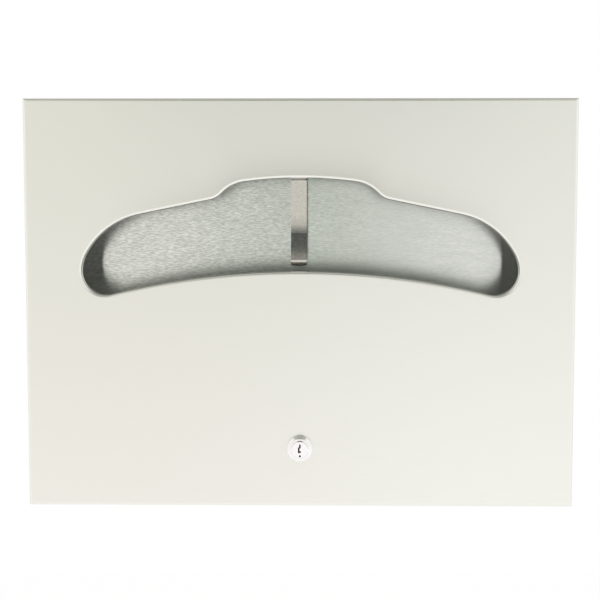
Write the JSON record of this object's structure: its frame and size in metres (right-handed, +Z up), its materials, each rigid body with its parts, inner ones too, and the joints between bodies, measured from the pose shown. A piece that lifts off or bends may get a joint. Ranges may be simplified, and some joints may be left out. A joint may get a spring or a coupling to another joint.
{
  "type": "toilet seat cover dispenser",
  "caption": "Flat wall-mounted steel dispenser for folded paper seat covers, with a wing-shaped opening, a retaining tongue, a hinged cover and a key lock.",
  "frame": {"origin": "centre of the four wall screw holes, on the wall plane behind the back plate", "axes": "+X to the right as seen from the front, -Y out of the front, +Z up"},
  "size_m": [0.4, 0.0555, 0.298],
  "materials": {
    "cover": "satin, brushed",
    "plate": "satin, brushed",
    "chrome": "bright",
    "brass": "plain",
    "spring": "bright wire",
    "zinc": "zinc plated"
  },
  "bodies": {
    "wall_unit": {"back_plate": "plate", "pack_shelf": "plate", "hinge_leaf_back": "plate", "hinge_pin": "plate"},
    "cover": {"front_cover": "cover", "hinge_leaf_cover": "plate", "lock_body": "chrome", "lock_washer": "zinc", "lock_nut": "zinc"},
    "plug": {"lock_plug": "chrome", "cam_stop_washer": "zinc", "lock_cam": "zinc", "cam_lock_washer": "zinc", "cam_screw": "zinc", "wafer_springs": "spring"},
    "wafers": {"wafer_1": "brass", "wafer_2": "brass", "wafer_3": "brass", "wafer_4": "brass", "wafer_5": "brass"}
  },
  "joints": [
    {"name": "cover_hinge", "type": "hinge", "parent": "wall_unit", "child": "cover", "pos_m": [0, -0.00265, 0.14635], "axis": [-1, 0, 0], "range_deg": [0, 90]},
    {"name": "key_turn", "type": "hinge", "parent": "cover", "child": "plug", "pos_m": [0, -0.043, -0.106], "axis": [0, -1, 0], "range_deg": [0, 90]},
    {"name": "wafer_slide", "type": "slide", "parent": "plug", "child": "wafers", "axis": [0, 0, 1], "range_m": [0, 0.00045], "deforming": ["wafer_springs"]}
  ]
}
